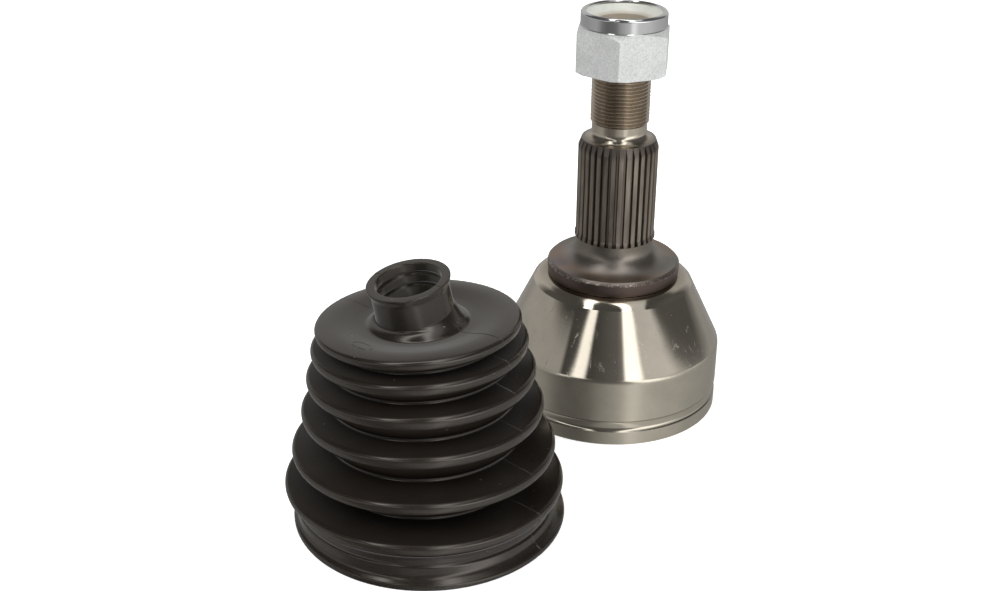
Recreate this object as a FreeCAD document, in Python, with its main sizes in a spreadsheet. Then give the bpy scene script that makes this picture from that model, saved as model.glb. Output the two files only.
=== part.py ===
"""Outer constant-velocity joint with its hub nut, and the rubber boot that belongs to it.

The frame is in millimetres. The origin is on the joint's axis in the plane of the bell's mouth rim,
on which the joint stands. +Z points along the stub axle, towards the nut.
"""

import FreeCAD, Part

import math
import os
import re

import Sketcher

# ---------------------------------------------------------------------------------------------
# Driving dimensions: alias, value in millimetres or degrees, and what it is
# ---------------------------------------------------------------------------------------------
DIMENSIONS = [
    # balls and the spherical faces that guide them
    ("joint_centre", 22.0, "height of the centre about which the joint bends"),
    ("ball_radius", 9.5, "bearing ball"),
    ("ball_circle", 32.5, "radius of the circle of ball centres"),
    ("track_clearance", 0.1, "ball to its track, radial"),
    ("sphere_step", 3.5, "bell's spherical inside beyond the ball circle"),
    ("sphere_clearance", 0.08, "between the spherical faces of bell, cage and race"),
    ("cage_wall", 5.4, "wall of the ball cage"),
    ("cage_bar", 8.5, "bar of the cage above and below a window"),
    ("cage_edge", 0.8, "edge break of the cage"),
    ("window_clearance", 0.08, "ball to the cage window's two faces"),
    ("window_slack", 1.4, "ball to the window's ends, for its travel around the cage"),
    ("window_corner", 3.0, "corner radius of a window"),
    ("race_half", 13.0, "half the inner race's height"),
    ("race_edge", 0.8, "edge break of the inner race"),
    ("bore_minor", 13.3, "inner race bore, over the teeth"),
    ("bore_depth", 1.1, "depth of the bore's teeth"),
    ("bore_chamfer", 1.3, "chamfer at both ends of the bore"),
    ("clip_wire", 0.8, "radius of the circlip's wire"),
    ("clip_inset", 3.8, "circlip below the inner race's upper face"),
    ("clip_depth", 0.9, "floor of the circlip's groove beyond the teeth"),
    ("clip_play", 0.02, "circlip to its groove"),
    ("clip_opening", 34.0, "opening angle of the circlip"),
    # outer race: the bell
    ("bell_wall", 4.75, "wall of the bell behind a track"),
    ("rim_face", 6.8, "width of the mouth rim's face"),
    ("rim_chamfer", 0.3, "edge break of the mouth rim"),
    ("land_height", 6.0, "plain band between the mouth rim and the boot groove"),
    ("groove_width", 5.25, "shallow boot groove"),
    ("groove_depth", 0.9, "depth of the boot groove"),
    ("band_length", 16.5, "straight band above the boot groove"),
    ("band_blend", 5.0, "radius that blends the band into the cone"),
    ("cone_angle", 25.9, "cone's side from its axis"),
    ("cone_height", 25.67, "height of the cone"),
    ("cone_edge", 0.6, "edge break at the cone's small end"),
    ("shoulder_rise", 2.5, "height of the rounded shoulder"),
    ("shoulder_bulge", 0.95, "how far the shoulder bulges from straight"),
    ("roof_rise", 29.6, "closed end of the cavity above the joint centre"),
    ("track_up", 41.0, "track's angle above the joint centre"),
    ("track_down", 62.0, "track's angle below the joint centre"),
    # outer race: bearing flange and stub axle
    ("flange_radius", 28.0, "bearing flange"),
    ("flange_step", 1.4, "flange beyond the top of the shoulder"),
    ("flange_height", 6.5, "height of the flange's side"),
    ("flange_chamfer", 1.1, "edge break of the bearing face"),
    ("fillet_radius", 8.6, "fillet between the bearing face and the neck"),
    ("neck_length", 1.9, "straight neck above the fillet"),
    ("neck_step", 0.3, "neck below the spline's crests"),
    ("spline_burr", 0.4, "rolled bulge at the spline's foot"),
    ("spline_burr_height", 1.6, "height of that bulge"),
    ("spline_radius", 16.5, "spline crests"),
    ("spline_depth", 1.25, "depth of the spline's gaps"),
    ("spline_length", 43.2, "length of the spline"),
    ("spline_chamfer", 3.4, "length of its chamfered end"),
    ("flare_height", 4.0, "flare from the spline into the relief"),
    ("flare_bulge", 1.15, "hollow of that flare"),
    ("relief_length", 7.65, "from the spline's end to the first thread"),
    ("relief_step", 0.7, "relief below the thread's crests"),
    ("thread_radius", 12.0, "thread crests"),
    ("thread_pitch", 1.5, "thread pitch"),
    ("thread_depth", 0.9, "depth of the thread"),
    ("thread_length", 36.7, "from the first thread to the stub's end"),
    ("stub_chamfer", 1.2, "chamfer at the end of the stub axle"),
    ("centre_radius", 3.2, "centre hole in the end"),
    ("centre_depth", 5.5, "depth of the centre hole"),
    # hub nut and its insert
    ("nut_flats", 35.5, "across flats"),
    ("nut_hex_height", 17.7, "height of the hexagon's flats"),
    ("nut_height", 24.3, "height of the nut"),
    ("nut_bevel", 30.0, "bevel of the hexagon's ends"),
    ("nut_foot_bevel", 1.6, "width of the lower bevel at a corner"),
    ("nut_shelf", 0.2, "shelf above the upper bevel, inside the flats"),
    ("nut_shelf_height", 0.5, "height of that shelf"),
    ("nut_collar_step", 0.45, "collar inside the flats"),
    ("nut_round", 1.6, "height over which the collar rounds over"),
    ("nut_lip_step", 1.1, "crest of the rolled lip inside the collar"),
    ("nut_lip_width", 1.0, "width of the rolled lip"),
    ("nut_lip_height", 1.2, "thickness of the rolled lip"),
    ("nut_lip_bulge", 0.4, "roundness of the lip"),
    ("nut_clearance", 0.05, "bore over the thread crests"),
    ("nut_bore_chamfer", 1.1, "chamfer at the bore's lower end"),
    ("nut_turn", -9.0, "turn of the hexagon: at 0 a corner faces -Y"),
    ("insert_floor", 17.0, "floor of the insert's seat above the nut's foot"),
    ("insert_play", 1.0, "the stub's end below the insert"),
    ("insert_bite", 1.1, "insert's hole inside the thread's crests"),
    ("insert_dish", 3.2, "depth of the insert's dished top"),
    ("collar_wall", 1.6, "wall of the nut's collar around the insert"),
    # boot: where it stands, its large cuff, crown and collar
    ("boot_x", -77.0, "boot axis"),
    ("boot_y", -91.3, "boot axis"),
    ("cuff_clearance", 0.1, "large cuff over the bell"),
    ("cuff_wall", 3.3, "wall of the large cuff"),
    ("cuff_lip", 1.7, "lip at the foot of the large cuff"),
    ("cuff_lip_height", 2.3, "height of that lip"),
    ("cuff_line", 4.6, "line around the cuff above that lip"),
    ("cuff_line_half", 0.6, "half the width of that line"),
    ("cuff_line_depth", 0.5, "depth of that line"),
    ("cuff_height", 12.0, "height of the large cuff"),
    ("cuff_relief", 3.0, "cuff's seat ends below its top by this"),
    ("cuff_thin", 1.9, "wall above that seat"),
    ("fold_lip", 1.15, "radius of a fold's rounded rim"),
    ("fold_root", 0.9, "radius of a fold's rounded root"),
    ("rim_wall", 2.6, "inside of a rim from its outside"),
    ("rim_sink", 0.3, "inside of a rim below its outside"),
    ("root_wall", 5.4, "inside of a root from its outside"),
    ("root_sink", 1.5, "inside of a root below its outside"),
    ("plate_rise", 2.7, "top plate's inner edge above its rim"),
    ("plate_wall", 2.2, "wall of the top plate"),
    ("hump_width", 4.0, "width of the slope up to the hump around the collar"),
    ("hump_height", 1.8, "height of that hump"),
    ("hump_radius", 17.0, "crest of the hump"),
    ("collar_shift", 2.3, "collar's foot from the boot axis"),
    ("collar_tilt", 10.5, "lean of the collar"),
    ("collar_heading", 204.0, "direction of the lean, from +X"),
    ("collar_height", 14.6, "height of the collar along its axis"),
    ("collar_thickness", 2.4, "wall of the boot's collar"),
    ("collar_lip", 1.0, "lip around the collar's top"),
    ("collar_lip_height", 2.2, "height of that lip"),
    ("collar_bore", 12.1, "bore of the collar"),
    ("collar_groove", 0.8, "depth of the two grooves between the sealing lands in the bore"),
    ("collar_groove_half", 0.9, "half the width of such a groove"),
    ("collar_groove_step", 4.6, "from the foot to the lower groove, and on to the upper one"),
    ("collar_root", 2.4, "how far the collar reaches into the hump"),
    # the boot's folds from the top plate (a) down to the large cuff (f): each rim's radius and its
    # height above the rim below, and the root under it, with its height above that lower rim
    ("rim_a", 37.7, "fold a, rim radius"),
    ("rim_b", 39.9, "fold b, rim radius"),
    ("rim_c", 42.4, "fold c, rim radius"),
    ("rim_d", 45.2, "fold d, rim radius"),
    ("rim_e", 49.5, "fold e, rim radius"),
    ("rim_over", 2.8, "fold f, rim beyond the large cuff"),
    ("rise_a", 8.4, "rim a above rim b"),
    ("rise_b", 11.3, "rim b above rim c"),
    ("rise_c", 13.7, "rim c above rim d"),
    ("rise_d", 15.9, "rim d above rim e"),
    ("rise_e", 14.5, "rim e above rim f"),
    ("rise_f", 2.8, "rim f above the large cuff"),
    ("root_a", 32.0, "root under fold a"),
    ("root_b", 33.6, "root under fold b"),
    ("root_c", 34.8, "root under fold c"),
    ("root_d", 36.2, "root under fold d"),
    ("root_e", 37.0, "root under fold e"),
    ("lift_a", 3.5, "root under fold a above rim b"),
    ("lift_b", 4.2, "root under fold b above rim c"),
    ("lift_c", 3.8, "root under fold c above rim d"),
    ("lift_d", 4.7, "root under fold d above rim e"),
    ("lift_e", 3.6, "root under fold e above rim f"),
]

# Counts are whole numbers, so they stay outside the sheet of dimensions.
BALLS = 6
SPLINE_TEETH = 33
BORE_TEETH = 28

# Sizes and places worked out from the sheet. A formula may use the ones above it.
FORMULAS = {
    "bell_sphere": "ball_circle + sphere_step",
    "cage_outer": "bell_sphere - sphere_clearance",
    "cage_inner": "cage_outer - cage_wall",
    "race_sphere": "cage_inner - sphere_clearance",
    "cage_half": "ball_radius + cage_bar",
    "window_half": "ball_radius + window_clearance",
    "window_half_length": "ball_radius + window_slack",
    "bore_major": "bore_minor + bore_depth",
    "bore_pitch": f"2 * pi * bore_minor / {BORE_TEETH}",
    "clip_seat": "bore_major + clip_depth",
    "clip_place": "joint_centre + race_half - clip_inset",
    "bell_radius": "ball_circle + ball_radius + track_clearance + bell_wall",
    "mouth_radius": "bell_radius - rim_face",
    "mouth_middle": "(mouth_radius + joint_centre) / 2",
    "mouth_depth": "mouth_middle - sqrt(bell_sphere^2 / 2 - (mouth_radius - joint_centre)^2 / 4)",
    "bell_roof": "joint_centre + roof_rise",
    "groove_top": "land_height + groove_width",
    "groove_curve": "groove_width^2 / (8 * groove_depth) + groove_depth / 2",
    "band_top": "groove_top + band_length",
    "blend_radius": "bell_radius - band_blend * (1 - cos(cone_angle))",
    "blend_top": "band_top + band_blend * sin(cone_angle)",
    "cone_top_radius": "blend_radius - cone_height * tan(cone_angle)",
    "cone_top": "blend_top + cone_height",
    "edge_top": "cone_top + cone_edge",
    "shoulder_radius": "flange_radius - flange_step",
    "shoulder_top": "edge_top + shoulder_rise",
    "flange_top": "shoulder_top + flange_height",
    "neck_radius": "spline_radius - neck_step",
    "spline_start": "flange_top + fillet_radius + neck_length",
    "spline_nose": "spline_radius - spline_depth",
    "spline_pitch": f"2 * pi * spline_radius / {SPLINE_TEETH}",
    "spline_end": "spline_start + spline_length",
    "relief_radius": "thread_radius - relief_step",
    "thread_start": "spline_end + relief_length",
    "stub_top": "thread_start + thread_length",
    "nut_bottom": "stub_top + insert_play - insert_floor",
    "nut_corner": "nut_flats / sqrt(3)",
    "nut_hex_top": "nut_bottom + nut_hex_height",
    "nut_shelf_radius": "nut_flats / 2 - nut_shelf",
    "nut_shelf_top": "nut_hex_top + nut_shelf * tan(nut_bevel) + nut_shelf_height",
    "nut_collar": "nut_flats / 2 - nut_collar_step",
    "nut_top": "nut_bottom + nut_height",
    "nut_lip": "nut_collar - nut_lip_step",
    "nut_lip_inner": "nut_lip - nut_lip_width",
    "nut_bore": "thread_radius + nut_clearance",
    "insert_bottom": "nut_bottom + insert_floor",
    "insert_radius": "nut_collar - collar_wall",
    "insert_rim": "nut_top - nut_lip_height",
    "insert_throat": "thread_radius - insert_bite",
    "cuff_inner": "bell_radius + cuff_clearance",
    "cuff_radius": "cuff_inner + cuff_wall",
    "cuff_foot": "cuff_radius + cuff_lip",
    "cuff_line_place": "cuff_lip_height + cuff_line",
    "rim_f": "cuff_radius + rim_over",
    "rim_f_place": "cuff_height + rise_f",
    "root_e_place": "rim_f_place + lift_e",
    "rim_e_place": "rim_f_place + rise_e",
    "root_d_place": "rim_e_place + lift_d",
    "rim_d_place": "rim_e_place + rise_d",
    "root_c_place": "rim_d_place + lift_c",
    "rim_c_place": "rim_d_place + rise_c",
    "root_b_place": "rim_c_place + lift_b",
    "rim_b_place": "rim_c_place + rise_b",
    "root_a_place": "rim_b_place + lift_a",
    "rim_a_place": "rim_b_place + rise_a",
    "plate_top": "rim_a_place + plate_rise",
    "hump_top": "plate_top + hump_height",
    "plate_hole": "collar_bore - collar_shift - collar_groove",
    "collar_radius": "collar_bore + collar_thickness",
}


# ---------------------------------------------------------------------------------------------
# Document, sheet and sketch helpers
# ---------------------------------------------------------------------------------------------
doc = FreeCAD.newDocument("cv_joint")
sheet = doc.addObject("Spreadsheet::Sheet", "Dimensions")


def fill_sheet():
    for number, (alias, size, what) in enumerate(DIMENSIONS, 1):
        sheet.set(f"A{number}", what)
        sheet.set(f"B{number}", str(size))
        sheet.setAlias(f"B{number}", alias)
    doc.recompute()


fill_sheet()
ALIASES = {alias for alias, _, _ in DIMENSIONS}


def bound(text):
    """The expression with each formula written out and each alias turned into a sheet reference."""

    def spell(match):
        word = match[0]
        if word in FORMULAS:
            return f"({bound(FORMULAS[word])})"
        return f"Dimensions.{word}" if word in ALIASES else word

    return re.sub(r"[a-z_]+", spell, str(text))


def value(text):
    """The number that an expression over the sheet's aliases and the formulas has now."""
    result = sheet.evalExpression(bound(text))
    return float(getattr(result, "Value", result))


def bulged(start, finish, bulge, side):
    """The point finish, reached from start by an arc that bulges by a given height."""
    chord = f"((({finish[0]}) - ({start[0]}))^2 + (({finish[1]}) - ({start[1]}))^2)"
    return (finish[0], finish[1], f"{chord} / (8 * {bulge}) + {bulge} / 2", side)


def plane(body, role):
    return next(f for f in body.Origin.OriginFeatures if f.Role == role)


def new_body(label):
    body = doc.addObject("PartDesign::Body", label)
    body.Label = label
    return body


def new_sketch(body, name, role="XZ_Plane", lift=None, offset=None):
    """A sketch on an origin plane of its own body, lifted along its normal or placed by an offset."""
    sketch = body.newObject("Sketcher::SketchObject", name)
    sketch.AttachmentSupport = (plane(body, role), [""])
    sketch.MapMode = "FlatFace"
    if lift is not None:
        sketch.setExpression(".AttachmentOffset.Base.z", bound(lift))
    if offset is not None:
        sketch.AttachmentOffset = offset
    return sketch


def dimension(sketch, kind, places, text):
    """A constraint whose value is bound to the sheet."""
    index = sketch.addConstraint(Sketcher.Constraint(kind, *places, value(text)))
    sketch.setExpression(f"Constraints[{index}]", bound(text))


def pin_point(sketch, point, across, up):
    """Ties a point (geometry, end) to its two coordinates in the sketch."""
    for kind, axis, text in (("DistanceX", -2, across), ("DistanceY", -1, up)):
        if abs(value(text)) < 1e-9:
            sketch.addConstraint(Sketcher.Constraint("PointOnObject", *point, axis))
        elif value(text) > 0:
            dimension(sketch, kind, (-1, 1, *point), text)
        else:
            dimension(sketch, kind, (*point, -1, 1), f"-({text})")


def arc_centre(start, finish, radius, side):
    """Centre of the arc from start to finish; side +1 has the centre on the left of the way."""
    dx, dy = finish.x - start.x, finish.y - start.y
    chord = math.hypot(dx, dy)
    if radius < chord / 2:
        raise ValueError(f"arc radius {radius} is too small for its chord {chord}")
    rise = math.sqrt(radius**2 - chord**2 / 4) * side
    across = (start.x + finish.x) / 2 - dy / chord * rise
    return FreeCAD.Vector(across, (start.y + finish.y) / 2 + dx / chord * rise)


def add_arc(sketch, start, finish, radius, side):
    """The arc's geometry index and which of its ends are start and finish."""
    centre = arc_centre(start, finish, radius, side)
    circle = Part.Circle(centre, FreeCAD.Vector(0, 0, 1), radius)
    angles = [math.atan2(p.y - centre.y, p.x - centre.x) for p in (start, finish)]
    if side < 0:
        angles.reverse()
    index = sketch.addGeometry(Part.ArcOfCircle(circle, *angles))
    return (index, 1, 2) if side > 0 else (index, 2, 1)


def draw(sketch, points):
    """A closed outline. A point is (across, up), or (across, up, radius, side) where an arc leads to
    it, with its centre on the left (+1) or on the right (-1) of the way."""
    spots = [FreeCAD.Vector(value(p[0]), value(p[1]), 0) for p in points]
    edges = []
    for i, point in enumerate(points):
        start, finish = spots[i - 1], spots[i]
        if len(point) == 4:
            edges.append(add_arc(sketch, start, finish, value(point[2]), point[3]))
        else:
            edges.append((sketch.addGeometry(Part.LineSegment(start, finish)), 1, 2))
    for i, point in enumerate(points):
        index, _, last = edges[i]
        following, first, _ = edges[(i + 1) % len(points)]
        sketch.addConstraint(Sketcher.Constraint("Coincident", index, last, following, first))
        pin_point(sketch, (index, last), point[0], point[1])
        if len(point) == 4:
            dimension(sketch, "Radius", (index,), point[2])


def draw_circle(sketch, across, up, radius):
    centre = FreeCAD.Vector(value(across), value(up), 0)
    index = sketch.addGeometry(Part.Circle(centre, FreeCAD.Vector(0, 0, 1), value(radius)))
    pin_point(sketch, (index, 3), across, up)
    dimension(sketch, "Radius", (index,), radius)


def turn(body, kind, name, points, offset=None):
    """A Revolution or a Groove: a closed outline turned all round the sketch's upright axis."""
    sketch = new_sketch(body, f"{name}_outline", offset=offset)
    draw(sketch, points)
    feature = body.newObject(f"PartDesign::{kind}", name)
    feature.Profile = sketch
    feature.ReferenceAxis = (sketch, ["V_Axis"])
    feature.Angle = 360
    doc.recompute()
    return feature


def repeat(body, name, feature, count):
    """A polar pattern of one feature about the body's Z axis."""
    pattern = body.newObject("PartDesign::PolarPattern", name)
    pattern.Originals = [feature]
    pattern.Axis = (plane(body, "Z_Axis"), [""])
    pattern.Angle = 360
    pattern.Occurrences = count
    body.Tip = pattern
    doc.recompute()


def cut_slots(body, name, outline, foot, length, count, turned=None):
    """Pockets up along +Z of one closed outline, repeated about the Z axis."""
    sketch = new_sketch(body, f"{name}_outline", "XY_Plane", foot)
    if turned is not None:
        sketch.AttachmentOffset = FreeCAD.Placement(
            FreeCAD.Vector(0, 0, value(foot)), FreeCAD.Rotation(FreeCAD.Vector(0, 0, 1), value(turned))
        )
        sketch.setExpression(".AttachmentOffset.Rotation.Angle", bound(turned))
    draw(sketch, outline)
    pocket = body.newObject("PartDesign::Pocket", name)
    pocket.Profile = sketch
    pocket.setExpression("Length", bound(length))
    pocket.Reversed = True
    doc.recompute()
    repeat(body, f"{name}_round", pocket, count)


def cut_tracks(body, down, up):
    """Ball tracks: the ball's circle turned about a line through the joint centre, six times."""
    sketch = new_sketch(body, "track_outline", "XY_Plane", "joint_centre")
    draw_circle(sketch, "0", "ball_circle", "ball_radius + track_clearance")
    groove = body.newObject("PartDesign::Groove", "track")
    groove.Profile = sketch
    groove.ReferenceAxis = (sketch, ["H_Axis"])
    groove.Type = "TwoAngles"
    groove.setExpression("Angle", bound(up))
    groove.setExpression("Angle2", bound(down))
    doc.recompute()
    repeat(body, "tracks", groove, BALLS)


# ---------------------------------------------------------------------------------------------
# Outer race: bell, bearing flange and stub axle, one forging
# ---------------------------------------------------------------------------------------------
def outer_race():
    body = new_body("outer_race")
    cone_edge = ("cone_top_radius - cone_edge", "edge_top")
    spline_end = ("spline_nose", "spline_end")
    bell = [
        ("mouth_radius", "0"),
        ("bell_radius - rim_chamfer", "0"),
        ("bell_radius", "rim_chamfer"),
        ("bell_radius", "land_height"),
        ("bell_radius", "groove_top", "groove_curve", -1),
        ("bell_radius", "band_top"),
        ("blend_radius", "blend_top", "band_blend", 1),
        ("cone_top_radius", "cone_top"),
        cone_edge,
        bulged(cone_edge, ("shoulder_radius", "shoulder_top"), "shoulder_bulge", 1),
    ]
    flange = [
        ("flange_radius - rim_chamfer", "shoulder_top + rim_chamfer"),
        ("flange_radius", "shoulder_top + flange_height / 2"),
        ("flange_radius", "flange_top - flange_chamfer"),
        ("flange_radius - flange_chamfer", "flange_top"),
        ("neck_radius + fillet_radius", "flange_top"),
        ("neck_radius", "flange_top + fillet_radius", "fillet_radius", -1),
    ]
    stub = [
        ("neck_radius", "spline_start"),
        ("spline_radius + spline_burr", "spline_start + spline_burr_height / 4"),
        ("spline_radius + spline_burr", "spline_start + spline_burr_height"),
        ("spline_radius", "spline_start + spline_burr_height * 1.5"),
        ("spline_radius", "spline_end - spline_chamfer"),
        spline_end,
        bulged(spline_end, ("relief_radius", "spline_end + flare_height"), "flare_bulge", -1),
        ("relief_radius", "thread_start - thread_depth"),
        ("thread_radius", "thread_start"),
        ("thread_radius", "stub_top - stub_chamfer"),
        ("thread_radius - stub_chamfer", "stub_top"),
        ("centre_radius", "stub_top"),
        ("0", "stub_top - centre_depth"),
    ]
    cavity = [
        ("0", "bell_roof"),
        ("sqrt(bell_sphere^2 - roof_rise^2)", "bell_roof"),
        ("mouth_radius - mouth_depth", "mouth_depth", "bell_sphere", -1),
    ]
    turn(body, "Revolution", "blank", bell + flange + stub + cavity)
    cut_tracks(body, "track_down", "track_up")
    gap = [
        ("-spline_pitch / 10", "spline_nose"),
        ("spline_pitch / 10", "spline_nose"),
        ("spline_pitch * 0.36", "spline_radius + spline_depth"),
        ("-spline_pitch * 0.36", "spline_radius + spline_depth"),
    ]
    foot = "spline_start + spline_burr_height / 4"
    cut_slots(body, "spline_gap", gap, foot, "spline_length", SPLINE_TEETH)
    cut_thread(body)
    return body


def cut_thread(body):
    """Ring-shaped thread grooves, one a pitch, from the first thread to the stub's end."""
    valley = [
        ("thread_radius - thread_depth", "thread_start + thread_pitch * 0.5"),
        ("thread_radius + thread_depth * 0.2", "thread_start + thread_pitch * 1.0"),
        ("thread_radius + thread_depth * 0.2", "thread_start"),
    ]
    groove = turn(body, "Groove", "thread_valley", valley)
    count = int(value("(thread_length - stub_chamfer) / thread_pitch"))
    pattern = body.newObject("PartDesign::LinearPattern", "thread")
    pattern.Originals = [groove]
    pattern.Direction = (plane(body, "Z_Axis"), [""])
    pattern.setExpression("Length", bound(f"thread_pitch * {count - 1}"))
    pattern.Occurrences = count
    body.Tip = pattern
    doc.recompute()


# ---------------------------------------------------------------------------------------------
# Inner race, ball cage, balls and circlip
# ---------------------------------------------------------------------------------------------
def edge_radius(sphere, height):
    """Radius of a sphere about the joint centre at a height above that centre."""
    return f"sqrt({sphere}^2 - ({height})^2)"


def inner_race():
    body = new_body("inner_race")
    low, high = "joint_centre - race_half", "joint_centre + race_half"
    face = edge_radius("race_sphere", "race_half")
    corner = edge_radius("race_sphere", "race_half - race_edge")
    outline = [
        ("bore_minor + bore_chamfer", low),
        (f"{face} - race_edge", low),
        (corner, f"{low} + race_edge"),
        (corner, f"{high} - race_edge", "race_sphere", 1),
        (f"{face} - race_edge", high),
        ("bore_minor + bore_chamfer", high),
        ("bore_minor", f"{high} - bore_chamfer"),
        ("bore_minor", "clip_place + clip_wire + clip_play"),
        ("clip_seat", "clip_place + clip_wire + clip_play"),
        ("clip_seat", "clip_place - clip_wire - clip_play"),
        ("bore_minor", "clip_place - clip_wire - clip_play"),
        ("bore_minor", f"{low} + bore_chamfer"),
    ]
    turn(body, "Revolution", "blank", outline)
    cut_tracks(body, "90", "90")
    gap = [
        ("-bore_pitch * 0.32", "bore_minor - bore_depth"),
        ("bore_pitch * 0.32", "bore_minor - bore_depth"),
        ("bore_pitch / 5", "bore_major"),
        ("-bore_pitch / 5", "bore_major"),
    ]
    cut_slots(body, "bore_spline", gap, low, "2 * race_half", BORE_TEETH)
    return body


def ball_cage():
    body = new_body("ball_cage")
    low, high = "joint_centre - cage_half", "joint_centre + cage_half"
    outer_end = edge_radius("cage_outer", "cage_half")
    outer_corner = edge_radius("cage_outer", "cage_half - cage_edge")
    inner_end = edge_radius("cage_inner", "cage_half")
    inner_corner = edge_radius("cage_inner", "cage_half - cage_edge")
    outline = [
        (f"{inner_end} + cage_edge", low),
        (f"{outer_end} - cage_edge", low),
        (outer_corner, f"{low} + cage_edge"),
        (outer_corner, f"{high} - cage_edge", "cage_outer", 1),
        (f"{outer_end} - cage_edge", high),
        (f"{inner_end} + cage_edge", high),
        (inner_corner, f"{high} - cage_edge"),
        (inner_corner, f"{low} + cage_edge", "cage_inner", -1),
    ]
    turn(body, "Revolution", "blank", outline)
    sketch = new_sketch(body, "window_outline")
    across, up = "window_half_length", "window_half"
    draw(
        sketch,
        [
            (f"{across} - window_corner", f"joint_centre - {up}"),
            (across, f"joint_centre - {up} + window_corner", "window_corner", 1),
            (across, f"joint_centre + {up} - window_corner"),
            (f"{across} - window_corner", f"joint_centre + {up}", "window_corner", 1),
            (f"window_corner - {across}", f"joint_centre + {up}"),
            (f"-{across}", f"joint_centre + {up} - window_corner", "window_corner", 1),
            (f"-{across}", f"joint_centre - {up} + window_corner"),
            (f"window_corner - {across}", f"joint_centre - {up}", "window_corner", 1),
        ],
    )
    window = body.newObject("PartDesign::Pocket", "window")
    window.Profile = sketch
    window.setExpression("Length", bound("bell_sphere"))
    doc.recompute()
    repeat(body, "windows", window, BALLS)
    return body


def ball(number):
    """One ball in its window, at the joint's straight position."""
    sphere = doc.addObject("Part::Sphere", f"ball_{number}")
    sphere.Label = f"ball_{number}"
    sphere.setExpression("Radius", bound("ball_radius"))
    angle = math.radians(90 + (number - 1) * 360 / BALLS)
    circle = value("ball_circle")
    sphere.Placement.Base = FreeCAD.Vector(
        circle * math.cos(angle), circle * math.sin(angle), value("joint_centre")
    )
    return sphere


def shaft_circlip():
    """The round-wire ring in the inner race's bore that snaps into the shaft's groove."""
    body = new_body("shaft_circlip")
    sketch = new_sketch(body, "wire_outline")
    draw_circle(sketch, "clip_seat - clip_wire - clip_play", "clip_place", "clip_wire")
    wire = body.newObject("PartDesign::Revolution", "wire")
    wire.Profile = sketch
    wire.ReferenceAxis = (sketch, ["V_Axis"])
    wire.setExpression("Angle", bound("360 - clip_opening"))
    doc.recompute()
    return body


# ---------------------------------------------------------------------------------------------
# Hub nut and its locking insert
# ---------------------------------------------------------------------------------------------
def hub_nut():
    body = new_body("hub_nut")
    collar_top = ("nut_collar", "nut_top - nut_round")
    lip = ("nut_lip", "nut_top")
    outline = [
        ("nut_bore + nut_bore_chamfer", "nut_bottom"),
        ("nut_corner - nut_foot_bevel", "nut_bottom"),
        ("nut_corner", "nut_bottom + nut_foot_bevel * tan(nut_bevel)"),
        ("nut_corner", "nut_hex_top - (nut_corner - nut_flats / 2) * tan(nut_bevel)"),
        ("nut_shelf_radius", "nut_hex_top + nut_shelf * tan(nut_bevel)"),
        ("nut_shelf_radius", "nut_shelf_top"),
        ("nut_collar", "nut_shelf_top + nut_collar_step - nut_shelf"),
        collar_top,
        bulged(collar_top, lip, "nut_lip_bulge", 1),
        bulged(lip, ("nut_lip_inner", "nut_top - nut_lip_height / 2"), "nut_lip_bulge / 2", 1),
        ("nut_lip_inner", "insert_rim"),
        ("insert_radius", "insert_rim"),
        ("insert_radius", "insert_bottom"),
        ("nut_bore", "insert_bottom"),
        ("nut_bore", "nut_bottom + nut_bore_chamfer"),
    ]
    turn(body, "Revolution", "blank", outline)
    beyond_flat = [
        ("-nut_flats", "nut_flats / 2"),
        ("nut_flats", "nut_flats / 2"),
        ("nut_flats", "nut_flats"),
        ("-nut_flats", "nut_flats"),
    ]
    foot = "nut_bottom - nut_bore_chamfer"
    cut_slots(body, "flat", beyond_flat, foot, "nut_height + 2 * nut_bore_chamfer", 6, "nut_turn + 30")
    return body


def nut_insert():
    body = new_body("nut_insert")
    outline = [
        ("insert_throat", "insert_bottom"),
        ("insert_radius", "insert_bottom"),
        ("insert_radius", "insert_rim"),
        ("nut_lip_inner", "insert_rim"),
        ("insert_throat", "insert_rim - insert_dish"),
    ]
    turn(body, "Revolution", "ring", outline)
    return body


# ---------------------------------------------------------------------------------------------
# Boot: large cuff, folds, top plate and leaning collar, one moulding
# ---------------------------------------------------------------------------------------------
def fold_rim(letter):
    """The rounded rim of a fold, from below."""
    low = (f"rim_{letter} - fold_lip / 2", f"rim_{letter}_place - fold_lip")
    high = (f"rim_{letter} - fold_lip / 2", f"rim_{letter}_place + fold_lip")
    return [low, bulged(low, high, "(fold_lip / 2)", 1)]


def fold_root(letter):
    """The rounded root between two folds, from below."""
    low = (f"root_{letter} + fold_root / 2", f"root_{letter}_place - fold_root")
    high = (f"root_{letter} + fold_root / 2", f"root_{letter}_place + fold_root")
    return [low, bulged(low, high, "(fold_root / 2)", -1)]


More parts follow.
